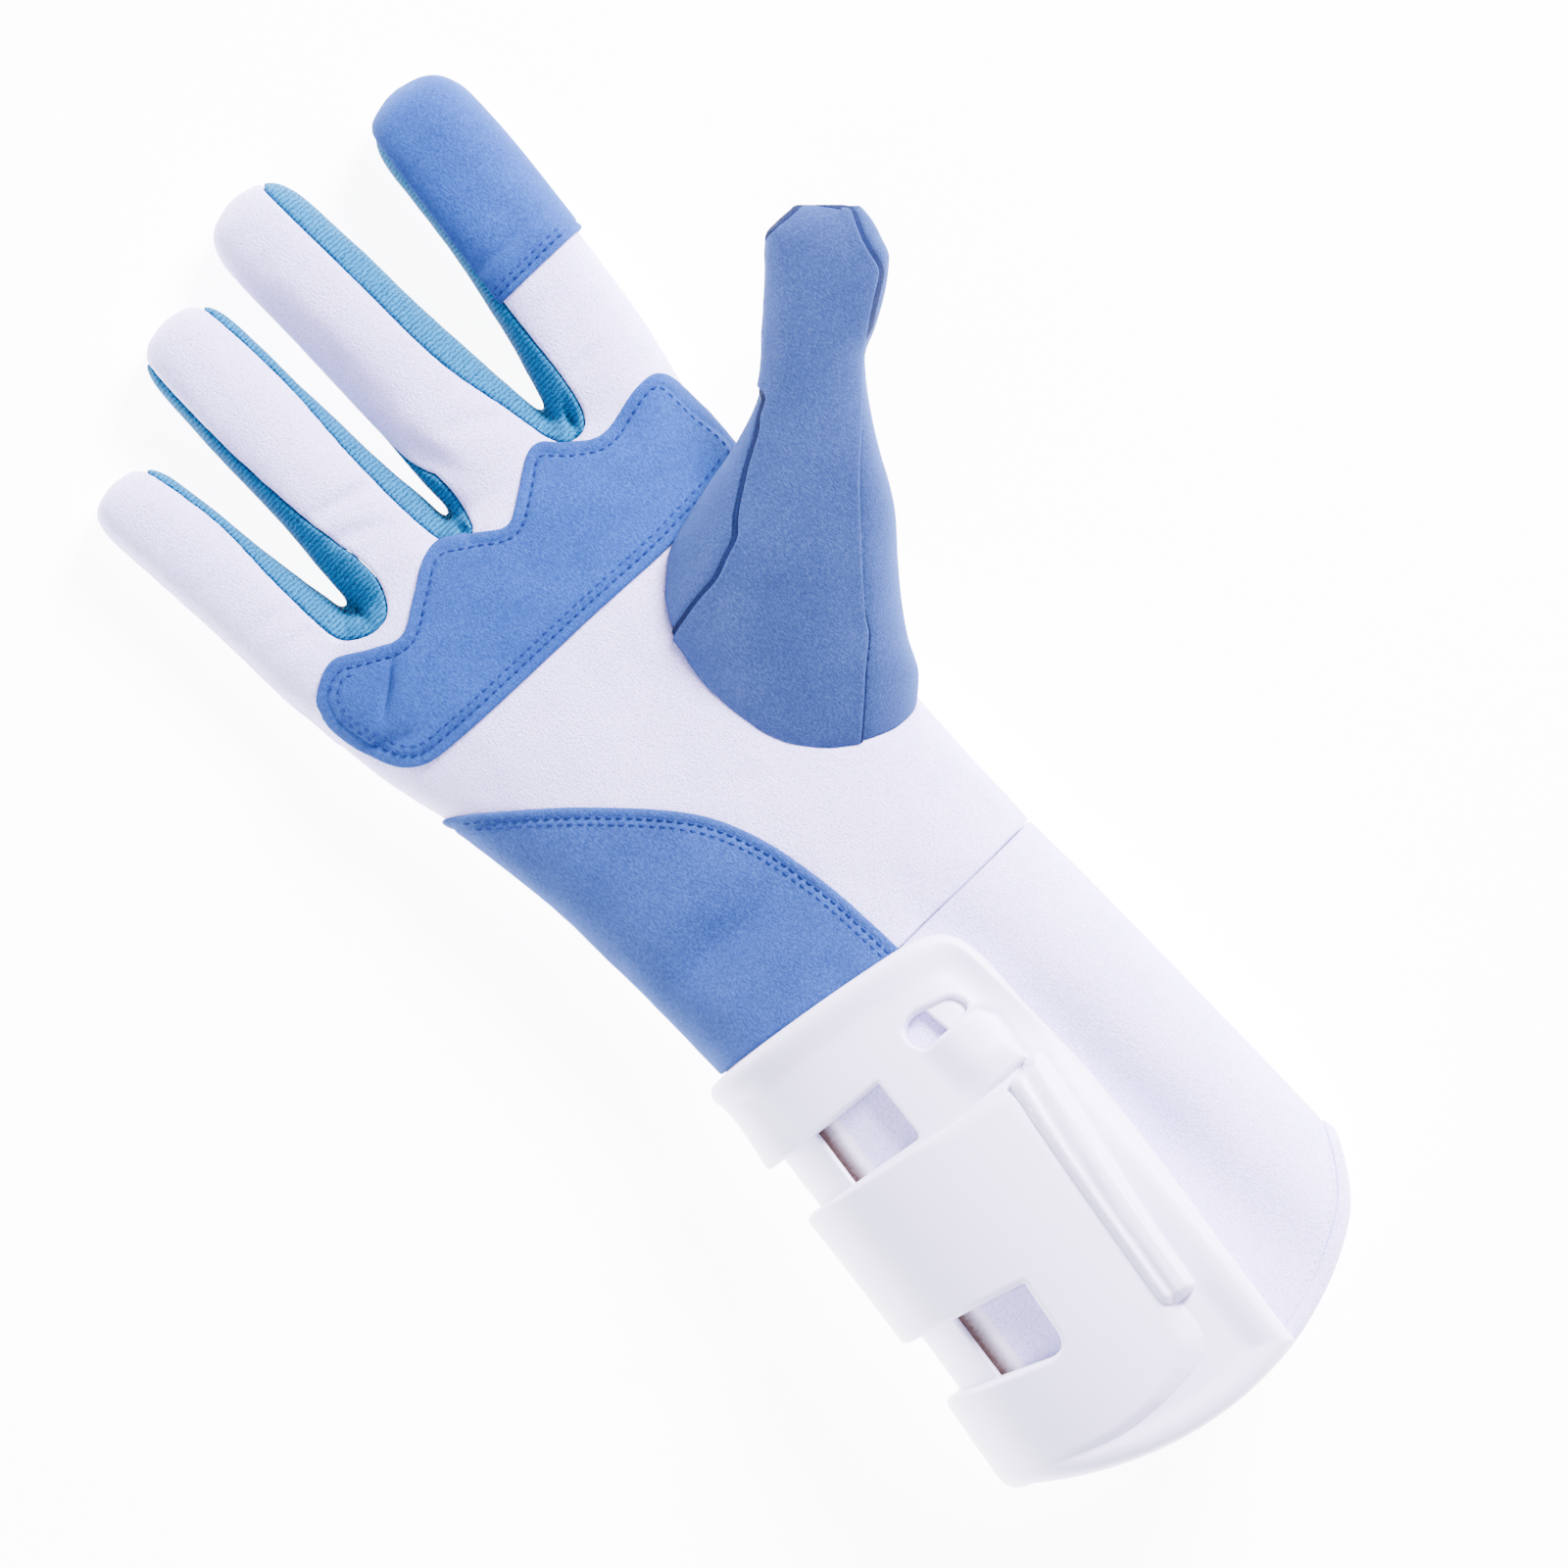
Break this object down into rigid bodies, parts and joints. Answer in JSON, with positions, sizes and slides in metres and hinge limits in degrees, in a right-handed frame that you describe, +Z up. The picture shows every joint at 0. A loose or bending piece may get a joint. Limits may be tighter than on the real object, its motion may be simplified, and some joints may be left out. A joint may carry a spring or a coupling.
{
  "type": "fencing glove",
  "caption": "Right-hand gauntlet glove lying palm up, with knit strips between the fingers, leather patches, a set-in thumb and a moulded strap closure round the cuff.",
  "frame": {"origin": "middle of the glove's footprint, on the surface that its back lies on", "axes": "+X towards the thumb side, +Y towards the fingertips, +Z up out of the palm"},
  "size_m": [0.1728, 0.351, 0.0696],
  "materials": {
    "white_cloth": "matt brushed synthetic suede",
    "blue_leather": "matt suede",
    "cyan_knit": "matt fine ribbed knit",
    "white_moulding": "satin flexible moulding"
  },
  "bodies": {
    "root": {"palm_panel": "white_cloth", "back_panel": "white_cloth", "fourchette_little_ring": "cyan_knit", "fourchette_ring_middle": "cyan_knit", "fourchette_middle_index": "cyan_knit", "thumb_front": "blue_leather", "thumb_back": "blue_leather", "palm_patch": "blue_leather", "heel_patch": "blue_leather", "index_cap": "blue_leather", "cuff_panel": "white_cloth", "cuff_hem": "white_cloth", "closure_tongue": "white_moulding", "closure_plate": "white_moulding", "closure_cover": "white_moulding", "closure_rib": "white_moulding"}
  },
  "joints": []
}
